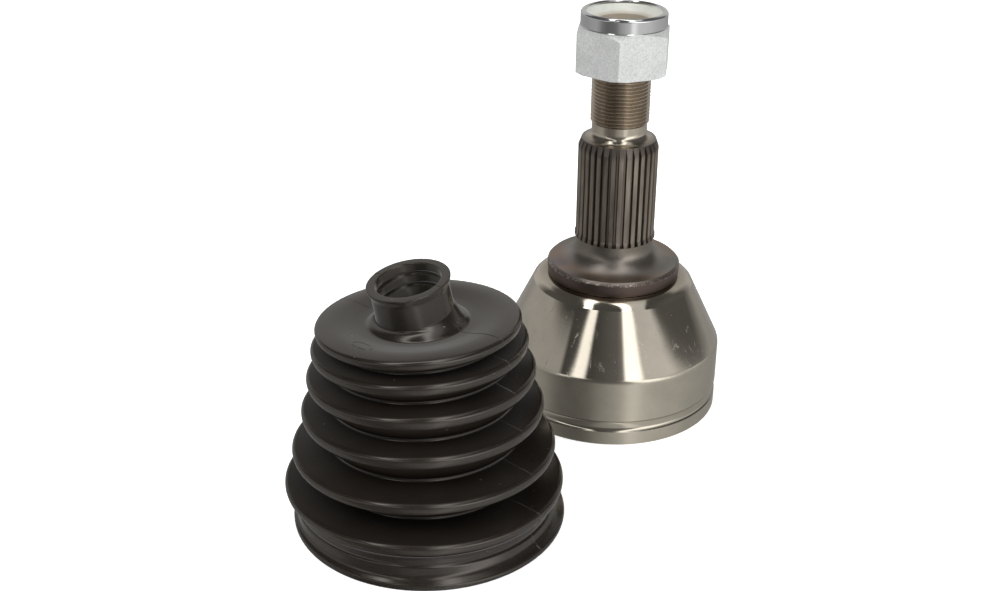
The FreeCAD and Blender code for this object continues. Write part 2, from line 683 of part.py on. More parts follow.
def boot():
    body = new_body("boot")
    foot = [
        ("cuff_inner", "0"),
        ("cuff_foot - fold_lip / 2", "0"),
        ("cuff_foot", "fold_lip / 2"),
        ("cuff_foot", "cuff_lip_height - fold_lip / 2"),
        ("cuff_foot - fold_lip / 2", "cuff_lip_height"),
        ("cuff_radius", "cuff_lip_height"),
        ("cuff_radius", "cuff_line_place - cuff_line_half"),
        ("cuff_radius - cuff_line_depth", "cuff_line_place"),
        ("cuff_radius", "cuff_line_place + cuff_line_half"),
        ("cuff_radius", "cuff_height"),
    ]
    outside = []
    for rim, root in zip("fedcb", "edcba"):
        outside += fold_rim(rim) + fold_root(root)
    outside += fold_rim("a")
    crown = [
        ("hump_radius + hump_width", "plate_top"),
        ("hump_radius", "hump_top"),
        ("plate_hole", "hump_top"),
        ("plate_hole", "plate_top - plate_wall"),
        ("hump_radius", "plate_top - plate_wall"),
    ]
    inside = []
    for fold in "abcde":
        inside.append((f"rim_{fold} - rim_wall", f"rim_{fold}_place - rim_sink"))
        inside.append((f"root_{fold} - root_wall", f"root_{fold}_place - root_sink"))
    inside.append(("rim_f - rim_wall", "rim_f_place - rim_sink"))
    seat = [("cuff_radius - cuff_thin", "cuff_height"), ("cuff_inner", "cuff_height - cuff_relief")]
    turn(body, "Revolution", "bellows", foot + outside + crown + inside + seat)
    add_collar(body)
    body.setExpression(".Placement.Base.x", bound("boot_x"))
    body.setExpression(".Placement.Base.y", bound("boot_y"))
    return body


def collar_offset(body):
    """Where the collar's sketch lies on its plane: its upright axis leans with the collar."""
    heading = math.radians(value("collar_heading"))
    lean_axis = FreeCAD.Vector(-math.sin(heading), math.cos(heading), 0)
    foot = FreeCAD.Vector(-value("collar_shift"), 0, value("plate_top"))
    on_plane = plane(body, "XZ_Plane").Placement
    leaning = FreeCAD.Placement(foot, FreeCAD.Rotation(lean_axis, value("collar_tilt")) * on_plane.Rotation)
    return on_plane.inverse() * leaning


def add_collar(body):
    offset = collar_offset(body)
    outside = [
        ("collar_bore - collar_groove", "-collar_root"),
        ("collar_radius", "-collar_root"),
        ("collar_radius", "collar_height - collar_lip_height"),
        ("collar_radius + collar_lip", "collar_height - collar_lip_height * 0.6"),
        ("collar_radius + collar_lip", "collar_height - collar_lip_height * 0.1"),
        ("collar_radius + collar_lip - collar_lip_height * 0.1", "collar_height"),
        ("collar_bore - collar_groove", "collar_height"),
    ]
    turn(body, "Revolution", "collar", outside, offset)
    bore = [
        ("0", "-collar_height / 2"),
        ("collar_bore", "-collar_height / 2"),
        ("collar_bore", "collar_groove_step - collar_groove_half"),
        ("collar_bore + collar_groove", "collar_groove_step"),
        ("collar_bore", "collar_groove_step + collar_groove_half"),
        ("collar_bore", "2 * collar_groove_step - collar_groove_half"),
        ("collar_bore + collar_groove", "2 * collar_groove_step"),
        ("collar_bore", "2 * collar_groove_step + collar_groove_half"),
        ("collar_bore", "collar_height + collar_root"),
        ("0", "collar_height + collar_root"),
    ]
    turn(body, "Groove", "collar_bore", bore, offset)


# ---------------------------------------------------------------------------------------------
# Build, check and export
# ---------------------------------------------------------------------------------------------
def check_and_export(pieces):
    doc.recompute()
    for thing in doc.Objects:
        if "Invalid" in thing.State or "Error" in thing.State:
            raise RuntimeError(f"{thing.Name}: {thing.State}")
    os.makedirs("parts", exist_ok=True)
    for piece in pieces:
        shape = piece.Shape
        if shape.isNull() or not shape.isValid() or len(shape.Solids) != 1:
            raise RuntimeError(f"{piece.Label}: null, not valid or not one solid")
        shape.exportStep(f"parts/{piece.Label}.step")
        print(f"{piece.Label:14s} {shape.Volume / 1000:9.3f} cm3")


pieces = [outer_race(), inner_race(), ball_cage(), shaft_circlip(), hub_nut(), nut_insert(), boot()]
pieces += [ball(number) for number in range(1, BALLS + 1)]
check_and_export(pieces)
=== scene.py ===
"""Looks for the constant-velocity joint kit.

The joint, its hub nut and the nut's insert keep their CAD solids and get procedural materials.
The rubber boot that stands beside them is one mesh, made here, which replaces the CAD boot.
"""

import math

import bmesh
import bpy
from mathutils import Matrix, Vector, noise


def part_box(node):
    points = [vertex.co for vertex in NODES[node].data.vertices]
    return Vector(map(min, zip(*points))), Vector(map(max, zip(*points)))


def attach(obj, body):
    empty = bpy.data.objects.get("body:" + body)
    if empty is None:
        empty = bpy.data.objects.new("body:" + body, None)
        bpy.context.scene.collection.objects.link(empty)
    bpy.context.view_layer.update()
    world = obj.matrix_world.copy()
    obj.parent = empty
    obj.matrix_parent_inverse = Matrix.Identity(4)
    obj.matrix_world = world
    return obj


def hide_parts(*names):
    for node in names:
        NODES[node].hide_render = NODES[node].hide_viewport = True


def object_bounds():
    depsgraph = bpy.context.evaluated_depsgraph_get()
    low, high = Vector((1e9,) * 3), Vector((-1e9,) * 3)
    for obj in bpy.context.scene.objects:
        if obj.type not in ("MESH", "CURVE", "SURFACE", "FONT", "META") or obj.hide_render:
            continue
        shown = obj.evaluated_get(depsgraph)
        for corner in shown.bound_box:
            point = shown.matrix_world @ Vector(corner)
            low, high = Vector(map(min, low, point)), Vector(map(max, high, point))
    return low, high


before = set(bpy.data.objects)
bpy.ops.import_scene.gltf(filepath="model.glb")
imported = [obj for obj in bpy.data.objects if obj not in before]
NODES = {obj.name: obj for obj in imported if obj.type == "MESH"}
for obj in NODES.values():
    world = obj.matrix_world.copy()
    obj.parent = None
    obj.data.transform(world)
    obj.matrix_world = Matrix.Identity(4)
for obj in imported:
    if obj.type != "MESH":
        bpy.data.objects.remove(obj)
cad_low, cad_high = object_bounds()
MM = 0.001


def new_object(name, mesh):
    thing = bpy.data.objects.new(name, mesh)
    bpy.context.scene.collection.objects.link(thing)
    return thing


def mesh_from(name, form):
    """Turns a bmesh into a mesh, and frees it."""
    mesh = bpy.data.meshes.new(name)
    form.to_mesh(mesh)
    form.free()
    return mesh


class Shader:
    """A node material, or the world, with short calls for the nodes that this scene uses."""

    def __init__(self, name, world=False):
        store = bpy.data.worlds if world else bpy.data.materials
        self.data = store.new(name)
        self.data.use_nodes = True
        self.tree = self.data.node_tree
        self.main = self.tree.nodes["Background" if world else "Principled BSDF"]

    def node(self, kind, **settings):
        made = self.tree.nodes.new("ShaderNode" + kind)
        for key, setting in settings.items():
            setattr(made, key, setting)
        return made

    def put(self, socket, source):
        """Links source to socket if it is a socket, and sets it if it is a number or a colour."""
        if isinstance(source, bpy.types.NodeSocket):
            self.tree.links.new(source, socket)
        elif isinstance(source, tuple) and len(source) == 3 and socket.type == "RGBA":
            socket.default_value = (*source, 1.0)
        else:
            socket.default_value = source

    def set(self, **values):
        for key, source in values.items():
            self.put(self.main.inputs[key.replace("_", " ")], source)

    def place(self, output="Object"):
        return self.node("TexCoord").outputs[output]

    def split(self, vector):
        made = self.node("SeparateXYZ")
        self.put(made.inputs[0], vector)
        return made.outputs

    def maths(self, operation, a, b=0.0):
        made = self.node("Math", operation=operation)
        self.put(made.inputs[0], a)
        self.put(made.inputs[1], b)
        return made.outputs[0]

    def plus(self, a, b):
        return self.maths("ADD", a, b)

    def minus(self, a, b):
        return self.maths("SUBTRACT", a, b)

    def times(self, a, b):
        return self.maths("MULTIPLY", a, b)

    def radius(self, x, y):
        return self.maths("SQRT", self.plus(self.times(x, x), self.times(y, y)))

    def stretch(self, vector, scale):
        made = self.node("VectorMath", operation="MULTIPLY")
        self.put(made.inputs[0], vector)
        made.inputs[1].default_value = scale
        return made.outputs[0]

    def dot(self, vector, other):
        made = self.node("VectorMath", operation="DOT_PRODUCT")
        self.put(made.inputs[0], vector)
        made.inputs[1].default_value = other
        return made.outputs["Value"]

    def noise(self, vector, scale, detail=3.0, roughness=0.55, distortion=0.0):
        made = self.node("TexNoise")
        self.put(made.inputs["Vector"], vector)
        made.inputs["Scale"].default_value = scale
        made.inputs["Detail"].default_value = detail
        made.inputs["Roughness"].default_value = roughness
        made.inputs["Distortion"].default_value = distortion
        return made.outputs["Fac"]

    def ramp(self, factor, stops):
        """A colour ramp through (position, grey or colour) stops."""
        made = self.node("ValToRGB")
        self.put(made.inputs[0], factor)
        elements = made.color_ramp.elements
        while len(elements) < len(stops):
            elements.new(0.5)
        for element, (at, shade) in zip(elements, stops):
            element.position = at
            shade = shade if isinstance(shade, tuple) else (shade,) * 3
            element.color = (*shade, 1.0)
        return made.outputs[0]

    def mix(self, factor, a, b, blend="MIX"):
        made = self.node("Mix", data_type="RGBA", blend_type=blend)
        self.put(made.inputs["Factor"], factor)
        self.put(made.inputs[6], a)
        self.put(made.inputs[7], b)
        return made.outputs[2]

    def tone(self, colour, shades):
        """Colour times shades."""
        return self.mix(1.0, colour, shades, "MULTIPLY")

    def bump(self, height, strength, distance, normal=None):
        made = self.node("Bump")
        self.put(made.inputs["Height"], height)
        made.inputs["Strength"].default_value = strength
        made.inputs["Distance"].default_value = distance
        if normal is not None:
            self.put(made.inputs["Normal"], normal)
        return made.outputs[0]

    def span(self, factor, low, high):
        """0 where factor is at low or beyond it, and 1 where it is at high or beyond it."""
        made = self.node("MapRange", clamp=True)
        self.put(made.inputs["Value"], factor)
        made.inputs["From Min"].default_value = low
        made.inputs["From Max"].default_value = high
        return made.outputs[0]

    def between(self, factor, rise, fall):
        """Goes from 0 to 1 over the two values of rise, and back to 0 over those of fall."""
        return self.times(self.span(factor, *rise), self.span(factor, fall[1], fall[0]))


# ---------------------------------------------------------------------------------------------
# Camera, floor and light
# ---------------------------------------------------------------------------------------------
CAMERA_PLACE = (-0.050350, -0.524160, 0.299066)
CAMERA_YAW, CAMERA_PITCH, CAMERA_ROLL = -0.218, 25.737, 0.338
CAMERA_SENSOR, CAMERA_LENS = 36.0, 48.344

# The room that the metals mirror. Bearings are in degrees, 0 towards the camera's side and 90 to
# its right. Levels are the z of a direction of length 1, so 1 is the zenith.
ROOM = [
    (-180, 0.10), (-60, 0.08), (-46, 0.07), (-38, 0.08), (-36, 0.20), (-34, 1.55), (-27, 1.55),
    (-24.5, 0.07), (-14, 0.10), (4, 0.15), (9.5, 0.25), (12.5, 1.9), (23.5, 1.9), (26.5, 0.66),
    (40, 0.70), (42.5, 0.10), (60, 0.11), (90, 0.12), (180, 0.10)]
TABLE = [
    (-180, 0.34), (-120, 0.30), (-82, 0.36), (-74, 0.30), (-64, 0.18), (-50, 0.13), (-36, 0.14),
    (-24, 0.17), (-15, 0.30), (4, 0.46), (12, 0.52), (17, 0.92), (25, 0.92), (33, 0.60),
    (68, 0.54), (91, 0.44), (113, 0.40), (140, 0.34), (180, 0.34)]
TABLE_EDGE = (-0.15, 0.03)
# ROOM holds at STRIP_LEVEL. Below it everything spreads out, and above it draws together.
STRIP_LEVEL, STRIP_SPREAD, STRIP_NARROWEST = 0.407, 3.9, 0.75
# a low panel to the left, whose rim drops by PANEL_RIM_FALL per radian beyond PANEL_RIM_BEARING
PANEL_BEARINGS = (-54, -58)
PANEL_RIM_BEARING, PANEL_RIM, PANEL_RIM_FALL, PANEL_RIM_BLUR = 63, 0.318, 0.1833, 0.012
PANEL_SHADE = (0.40, 0.40, 0.40)
WALL_BEARINGS, WALL_RIM = (122, 140), (0.70, 0.62)
WALL_SHADE = (0.50, 0.50, 0.50)
# Overhead, a strip is a band around the whole sphere: the direction that it is square to, half its
# width and its brightness. A dimmer panel lies beside the second one. All of it fades in over
# OVERHEAD_LEVELS, and fades out towards the back over OVERHEAD_BACK, the y of a direction.
OVERHEAD_LEVELS, OVERHEAD_BACK = (0.62, 0.80), (0.55, 0.30)
OVERHEAD_STRIPS = [((-0.865, 0.429, -0.259), 0.075, 2.8), ((-0.950, -0.291, 0.108), 0.080, 2.6)]
OVERHEAD_BLUR = 0.02
OVERHEAD_PANEL = {"rise": (-0.34, -0.30), "fall": (-0.10, -0.08)}
OVERHEAD_PANEL_SHADE, OVERHEAD_SHADE = 0.60, 0.08
ROOM_TINT = (1.0, 0.985, 0.965)

FLOOR_RADIUS, FLOOR_DROP, BACKDROP_RADIUS = 4.0, 0.0001, 8.0
WHITE = (1.0, 1.0, 1.0)
# name, place, aim, width, height, power and tint
LIGHTS = [
    ("key_panel", (-0.9, -0.9, 1.5), (-0.03, -0.04, 0.06), 0.9, 0.9, 16.0, (1.0, 0.99, 0.97)),
    ("fill_panel", (1.3, -0.7, 1.0), (0.0, 0.0, 0.06), 0.8, 1.2, 9.0, WHITE),
    ("rear_panel", (0.2, 1.4, 1.3), (0.0, 0.0, 0.05), 1.4, 0.6, 7.0, WHITE)]


def add_camera():
    data = bpy.data.cameras.new("camera")
    data.sensor_width = CAMERA_SENSOR
    data.lens = CAMERA_LENS
    data.clip_start = 0.02
    data.clip_end = 60.0
    camera = new_object("camera", data)
    yaw = Matrix.Rotation(math.radians(CAMERA_YAW), 4, "Z")
    pitch = Matrix.Rotation(math.radians(90 - CAMERA_PITCH), 4, "X")
    roll = Matrix.Rotation(math.radians(CAMERA_ROLL), 4, "Z")
    camera.matrix_world = Matrix.Translation(CAMERA_PLACE) @ yaw @ pitch @ roll
    bpy.context.scene.camera = camera


def radians_of(pair):
    return tuple(math.radians(angle) for angle in pair)


def set_world():
    """A dim room with two upright strip lights, a panel to the left and a pale wall behind."""
    world = Shader("studio", world=True)
    x, y, z = world.split(world.place("Generated"))
    bearing = world.maths("ARCTAN2", x, world.times(y, -1.0))
    aside = world.maths("ABSOLUTE", bearing)

    def around(angle, shades):
        turn = world.plus(world.maths("DIVIDE", angle, 2 * math.pi), 0.5)
        return world.ramp(turn, [((degrees + 180) / 360, shade) for degrees, shade in shades])

    # the strips stand close by, so they draw together with height as seen from the joint
    spread = world.times(world.minus(STRIP_LEVEL, z), STRIP_SPREAD)
    spread = world.maths("MAXIMUM", world.plus(spread, 1.0), STRIP_NARROWEST)
    room = around(world.maths("DIVIDE", bearing, spread), ROOM)
    rim = world.times(world.minus(aside, math.radians(PANEL_RIM_BEARING)), PANEL_RIM_FALL)
    rim = world.minus(PANEL_RIM, rim)
    panel = world.span(world.minus(z, rim), PANEL_RIM_BLUR, -PANEL_RIM_BLUR)
    panel = world.times(panel, world.span(bearing, *radians_of(PANEL_BEARINGS)))
    room = world.mix(panel, room, PANEL_SHADE)
    wall = world.times(world.span(aside, *radians_of(WALL_BEARINGS)), world.span(z, *WALL_RIM))
    room = world.mix(wall, room, WALL_SHADE)
    light = world.mix(world.span(z, *TABLE_EDGE), around(bearing, TABLE), room)

    beside = world.dot(world.place("Generated"), OVERHEAD_STRIPS[1][0])
    overhead = world.times(world.between(beside, **OVERHEAD_PANEL), OVERHEAD_PANEL_SHADE)
    overhead = world.plus(overhead, OVERHEAD_SHADE)
    for square_to, half, level in OVERHEAD_STRIPS:
        off = world.maths("ABSOLUTE", world.dot(world.place("Generated"), square_to))
        band = world.times(world.span(off, half + OVERHEAD_BLUR, half - OVERHEAD_BLUR), level)
        overhead = world.maths("MAXIMUM", overhead, band)
    above = world.times(world.span(z, *OVERHEAD_LEVELS), world.span(y, *OVERHEAD_BACK))
    light = world.mix(above, light, overhead)
    world.set(Color=world.tone(light, ROOM_TINT), Strength=1.0)
    bpy.context.scene.world = world.data


def add_light(name, place, aim, width, height, power, tint):
    """An area lamp that lights the object and isn't mirrored in it: the world is."""
    data = bpy.data.lights.new(name, "AREA")
    data.shape = "RECTANGLE"
    data.size = width
    data.size_y = height
    data.energy = power
    data.color = tint
    lamp = new_object(name, data)
    lamp.location = place
    lamp.rotation_euler = (Vector(aim) - Vector(place)).to_track_quat("-Z", "Y").to_euler()
    lamp.visible_camera = False
    lamp.visible_glossy = False


def add_floor():
    form = bmesh.new()
    bmesh.ops.create_circle(form, cap_ends=True, radius=FLOOR_RADIUS, segments=96)
    floor = new_object("floor", mesh_from("floor", form))
    floor.location.z = cad_low.z - FLOOR_DROP
    floor.visible_glossy = False
    pale = Shader("pale_floor")
    grain = pale.noise(pale.place(), 9.0, 4.0)
    pale.set(Base_Color=pale.ramp(grain, [(0.3, 0.88), (0.7, 0.91)]), Roughness=0.9)
    pale.set(Emission_Color=WHITE, Emission_Strength=0.62)
    floor.data.materials.append(pale.data)


def add_backdrop():
    """A pale sphere around everything, which only the camera sees."""
    form = bmesh.new()
    bmesh.ops.create_uvsphere(form, u_segments=64, v_segments=32, radius=BACKDROP_RADIUS)
    backdrop = new_object("backdrop", mesh_from("backdrop", form))
    for ray in ("visible_diffuse", "visible_glossy", "visible_transmission", "visible_shadow"):
        setattr(backdrop, ray, False)
    pale = Shader("pale_backdrop")
    shade = pale.ramp(pale.noise(pale.place(), 0.3), [(0.3, 0.96), (0.7, 0.98)])
    pale.set(Base_Color=(0.0, 0.0, 0.0), Roughness=1.0)
    pale.set(Emission_Color=shade, Emission_Strength=1.0)
    backdrop.data.materials.append(pale.data)


# ---------------------------------------------------------------------------------------------
# Metals and plastic
# ---------------------------------------------------------------------------------------------
# heights on the outer race, in mm above the bell's mouth
GROOVE_FOOT, GROOVE_TOP = 6.0, 11.25
BLEND_TOP = 29.93
CONE_TOP = 55.6
SHOULDER_TOP = 58.8
FLANGE_TOP = 65.2
NECK_TOP = 75.7
SPLINE_TOP = 118.9
THREAD_FOOT = 126.55

CHAMPAGNE, SATIN, GROOVE = (0.66, 0.61, 0.52), (0.60, 0.56, 0.47), (0.54, 0.50, 0.42)
SHOULDER, BROWN, BRONZE = (0.50, 0.44, 0.36), (0.16, 0.125, 0.11), (0.54, 0.47, 0.385)
RACE_COLOURS = [
    (GROOVE_FOOT - 0.1, SATIN), (GROOVE_FOOT + 0.1, GROOVE), (GROOVE_TOP - 0.05, SATIN),
    (BLEND_TOP - 0.13, SATIN), (BLEND_TOP + 0.17, CHAMPAGNE), (CONE_TOP + 1.8, CHAMPAGNE),
    (SHOULDER_TOP - 0.05, SHOULDER), (SHOULDER_TOP + 0.15, BROWN), (FLANGE_TOP - 1.2, BROWN),
    (FLANGE_TOP - 0.3, (0.36, 0.335, 0.31)), (FLANGE_TOP + 4.8, (0.32, 0.29, 0.26)),
    (NECK_TOP - 0.3, (0.30, 0.27, 0.23)), (NECK_TOP + 0.5, (0.24, 0.205, 0.175)),
    (SPLINE_TOP - 4.9, (0.25, 0.215, 0.185)), (SPLINE_TOP - 0.3, (0.19, 0.165, 0.15)),
    (SPLINE_TOP + 0.5, (0.46, 0.41, 0.34)), (SPLINE_TOP + 2.5, (0.70, 0.64, 0.54)),
    (THREAD_FOOT - 0.55, (0.68, 0.61, 0.51)), (THREAD_FOOT + 0.05, BRONZE)]
RACE_ROUGHNESS = [
    (GROOVE_FOOT - 0.1, 0.24), (GROOVE_FOOT + 0.2, 0.12), (GROOVE_TOP - 0.25, 0.12),
    (GROOVE_TOP + 0.05, 0.24), (BLEND_TOP - 0.13, 0.24), (BLEND_TOP + 0.17, 0.045),
    (CONE_TOP + 0.2, 0.05), (CONE_TOP + 0.8, 0.08), (SHOULDER_TOP - 0.1, 0.12),
    (SHOULDER_TOP + 0.15, 0.38), (FLANGE_TOP - 1.0, 0.40), (FLANGE_TOP, 0.42),
    (FLANGE_TOP + 2.8, 0.34), (NECK_TOP - 0.3, 0.34), (NECK_TOP + 0.5, 0.42),
    (SPLINE_TOP - 0.3, 0.40), (SPLINE_TOP + 0.5, 0.16), (THREAD_FOOT - 0.35, 0.16),
    (THREAD_FOOT + 0.25, 0.20)]
HEAT_TINTS = [
    (0.30, (0.10, 0.17, 0.16)), (0.45, (0.30, 0.24, 0.19)), (0.58, (0.42, 0.25, 0.15)),
    (0.72, (0.24, 0.16, 0.20))]
WORN_LINE, WORN_CREST = (0.55, 0.47, 0.42), (0.52, 0.47, 0.39)


def millimetres(*values):
    return tuple(value * MM for value in values)


def forged_steel():
    """Outer race: turned and polished bell, hardened brown flange and spline, plain thread."""
    steel = Shader("forged_steel")
    low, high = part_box("outer_race")
    length = high.z - low.z
    place = steel.place()
    x, y, z = steel.split(place)
    share = steel.maths("DIVIDE", steel.minus(z, low.z), length)
    radius = steel.radius(x, y)

    def along(zones):
        return steel.ramp(share, [(height * MM / length, shade) for height, shade in zones])

    # mottled tone, and heat tints where the flange was induction hardened
    cloud = steel.noise(place, 55.0, 5.0, 0.6)
    colour = steel.tone(along(RACE_COLOURS), steel.ramp(cloud, [(0.25, 0.86), (0.75, 1.08)]))
    hue = steel.noise(steel.stretch(place, (1.0, 1.0, 2.5)), 46.0, 2.0, 0.5)
    ring = steel.span(z, *millimetres(FLANGE_TOP - 0.4, FLANGE_TOP + 0.2))
    ring = steel.times(steel.span(radius, *millimetres(18.5, 24.0)), ring)
    colour = steel.mix(steel.times(ring, 0.65), colour, steel.ramp(hue, HEAT_TINTS))
    # worn speckled line at the flange's upper corner
    speck = steel.span(steel.noise(place, 900.0, 3.0, 0.7), 0.52, 0.60)
    line = steel.between(
        z, millimetres(FLANGE_TOP - 2.0, FLANGE_TOP - 1.2),
        millimetres(FLANGE_TOP - 0.6, FLANGE_TOP))
    line = steel.times(line, steel.span(radius, *millimetres(26.5, 27.5)))
    colour = steel.mix(steel.times(line, speck), colour, WORN_LINE)
    # worn crests on the spline
    on_spline = steel.between(
        z, millimetres(NECK_TOP + 0.3, NECK_TOP + 2.3),
        millimetres(SPLINE_TOP - 5.4, SPLINE_TOP - 2.9))
    crest = steel.times(steel.span(radius, *millimetres(15.95, 16.40)), on_spline)
    streak = steel.noise(steel.stretch(place, (260.0, 260.0, 30.0)), 1.0, 4.0, 0.65)
    worn = steel.times(crest, steel.span(streak, 0.36, 0.62))
    colour = steel.mix(steel.times(worn, 0.75), colour, WORN_CREST)
    # fine scratches on the polished cone
    scratch = steel.noise(steel.stretch(place, (34.0, 34.0, 9.0)), 6.0, 6.0, 0.75, 1.8)
    on_cone = steel.between(
        z, millimetres(BLEND_TOP - 0.03, BLEND_TOP + 0.57),
        millimetres(CONE_TOP - 0.6, CONE_TOP + 0.4))
    fine = steel.times(steel.span(scratch, 0.60, 0.66), on_cone)
    rough = steel.mix(steel.times(fine, 0.8), along(RACE_ROUGHNESS), (0.34, 0.34, 0.34))
    rough = steel.tone(rough, steel.ramp(cloud, [(0.3, 0.88), (0.7, 1.14)]))
    # circumferential tool marks all over, and a grainy skin above the shoulder
    marks = steel.noise(steel.stretch(place, (3.0, 3.0, 2600.0)), 1.0, 2.0, 0.6)
    normal = steel.bump(marks, 0.10, 0.02 * MM)
    grain = steel.noise(place, 1500.0, 3.0, 0.6)
    dull = steel.span(z, *millimetres(SHOULDER_TOP - 0.1, SHOULDER_TOP + 1.2))
    normal = steel.bump(steel.times(grain, dull), 0.28, 0.06 * MM, normal)
    steel.set(Base_Color=colour, Roughness=rough, Normal=normal, Metallic=1.0)
    return steel.data


def plain_steel(name, shade, rough):
    """Ground or lapped steel of the inner parts."""
    steel = Shader(name)
    place = steel.place()
    cloud = steel.noise(place, 90.0, 4.0)
    colour = steel.tone(shade, steel.ramp(cloud, [(0.3, 0.82), (0.7, 1.06)]))
    steel.set(
        Base_Color=colour, Metallic=1.0,
        Normal=steel.bump(steel.noise(place, 600.0, 2.0), 0.12, 0.03 * MM),
        Roughness=steel.ramp(cloud, [(0.25, rough * 0.8), (0.75, rough * 1.25)]))
    return steel.data


# heights on the hub nut, in mm above its foot
COLLAR_FADE = (17.9, 18.4)
SAND = [(0.30, (0.60, 0.61, 0.61)), (0.50, (0.76, 0.78, 0.78)), (0.70, (0.90, 0.92, 0.93))]
BRIGHT_ZINC = (0.80, 0.82, 0.83)


def zinc_plate():
    """Hub nut: sandy zinc on the hexagon, polished collar."""
    zinc = Shader("zinc_plate")
    low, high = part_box("hub_nut")
    place = zinc.place()
    collar = zinc.span(zinc.split(place)[2], *(low.z + height * MM for height in COLLAR_FADE))
    sand = zinc.noise(place, 1400.0, 4.0, 0.7)
    cloud = zinc.noise(place, 120.0, 4.0)
    tone = zinc.tone(zinc.ramp(sand, SAND), zinc.ramp(cloud, [(0.3, 0.92), (0.7, 1.05)]))
    sandy = zinc.times(sand, zinc.minus(1.0, collar))
    polished = zinc.ramp(cloud, [(0.3, 0.10), (0.7, 0.17)])
    zinc.set(
        Base_Color=zinc.mix(collar, tone, BRIGHT_ZINC),
        Roughness=zinc.mix(collar, (0.50, 0.50, 0.50), polished),
        Metallic=zinc.mix(collar, (0.55, 0.55, 0.55), WHITE),
        Normal=zinc.bump(sandy, 0.42, 0.14 * MM))
    return zinc.data


def nylon():
    """Locking insert: pale translucent plastic, tan near the hole."""
    plastic = Shader("nylon")
    place = plastic.place()
    x, y, _ = plastic.split(place)
    cloud = plastic.noise(place, 160.0, 4.0)
    pale = plastic.ramp(cloud, [(0.3, (0.60, 0.62, 0.58)), (0.7, (0.72, 0.73, 0.68))])
    inner = plastic.span(plastic.radius(x, y), *millimetres(12.5, 11.0))
    plastic.set(
        Base_Color=plastic.mix(plastic.times(inner, 0.7), pale, (0.42, 0.34, 0.26)),
        Roughness=plastic.ramp(cloud, [(0.3, 0.30), (0.7, 0.42)]),
        Normal=plastic.bump(plastic.noise(place, 500.0), 0.15, 0.05 * MM),
        Subsurface_Weight=0.25, Subsurface_Scale=2 * MM)
    return plastic.data


# ---------------------------------------------------------------------------------------------
# Rubber boot
# ---------------------------------------------------------------------------------------------
# rims of the folds, from the top plate down, and the roots between them: radius and height in mm
RIMS = [(37.7, 78.6), (39.9, 70.2), (42.4, 58.9), (45.2, 45.2), (49.5, 29.3), (52.8, 14.8)]
ROOTS = [(32.0, 73.6), (33.6, 62.9), (34.8, 48.9), (36.2, 33.7), (37.0, 18.7)]
BEAD = 1.7                      # half a rim's thickness, and its rounding
TOP_BEAD = 1.2                  # the uppermost rim above its own height
ROOT_STEP, ROOT_LEAN, ROOT_FILLET = 0.5, 0.05, 1.4
RIM_WALL, ROOT_WALL = (2.6, 0.3), (2.9, 0.6)        # inwards and down, from the outside
WALL_FILLET = 1.6
# sections in mm as (radius, height, fillet): the cuff from its foot up, the top plate from the
# uppermost rim in, the collar above its own foot and down its bore, and the inside of the cuff
CUFF_BORE = 46.95
CUFF_OUTSIDE = [
    (CUFF_BORE, 0.0, 0), (51.4, 0.0, 0.4), (51.8, 0.5, 0.4), (51.7, 1.9, 0.6), (49.6, 3.2, 1.4),
    (49.2, 6.2, 0.4), (48.6, 6.8, 0.25), (49.1, 7.4, 0.4), (49.5, 10.4, 2.0)]
TOP_PLATE = [(31.5, 80.6, 9.0), (22.5, 78.9, 5.0), (19.0, 78.8, 1.2), (18.0, 79.9, 1.6),
             (16.0, 81.2, 1.0)]
COLLAR = [
    (14.9, 0.2, 0), (14.5, 0.6, 0.3), (14.4, 5.0, 2.0), (14.4, 10.2, 0.8), (15.4, 12.3, 0.5),
    (15.5, 13.0, 0.25), (15.3, 13.2, 0.12), (12.35, 13.2, 0.15), (12.1, 12.9, 0.3),
    (12.1, 10.1, 0.3), (12.9, 9.2, 0.5), (12.1, 8.3, 0.3), (12.1, 5.5, 0.3), (12.9, 4.6, 0.5),
    (12.1, 3.7, 0.3), (12.1, -2.0, 0.5)]
PLATE_INSIDE = (17.0, 76.6, 2.0)
CUFF_INSIDE = [(48.4, 12.0, 1.0), (CUFF_BORE, 9.0, 0.5), (CUFF_BORE, 0.4, 0)]
# The boot sags to the left and back. Its centre line lies off the CAD axis, in mm, by these
# polynomials in its share of SAG_HEIGHT; below FOOT_RISE it eases over to the foot's own place.
SAG_HEIGHT = 80.0
SAG_X, SAG_Y = (-0.3, 1.9, -3.0), (-0.4, 2.9, 0.3)
FOOT_X, FOOT_Y, FOOT_RISE = 1.8, -1.0, 8.0
COLLAR_FOOT = (-2.5, 3.3, 82.4)
COLLAR_TILT, COLLAR_HEADING = math.radians(10.5), math.radians(204)
# two parting lines with moulding flash, its half width in radians and its height in mm
PARTING = [math.radians(-35), math.radians(-35) + math.pi]
FLASH_HALF, FLASH_HEIGHT = 0.006, 0.22
COLUMNS = 264
# the raised oval on the top plate: bearing, distance from the axis and half axes in mm
OVAL_BEARING, OVAL_REACH, OVAL_HALF = math.radians(-136), 27.5, (2.6, 5.2)

RUBBER = [(0.25, (0.0105, 0.0080, 0.0062)), (0.75, (0.0160, 0.0126, 0.0100))]
DUST = (0.16, 0.15, 0.135)
RUBBER_SHEEN = (1.0, 0.94, 0.87)


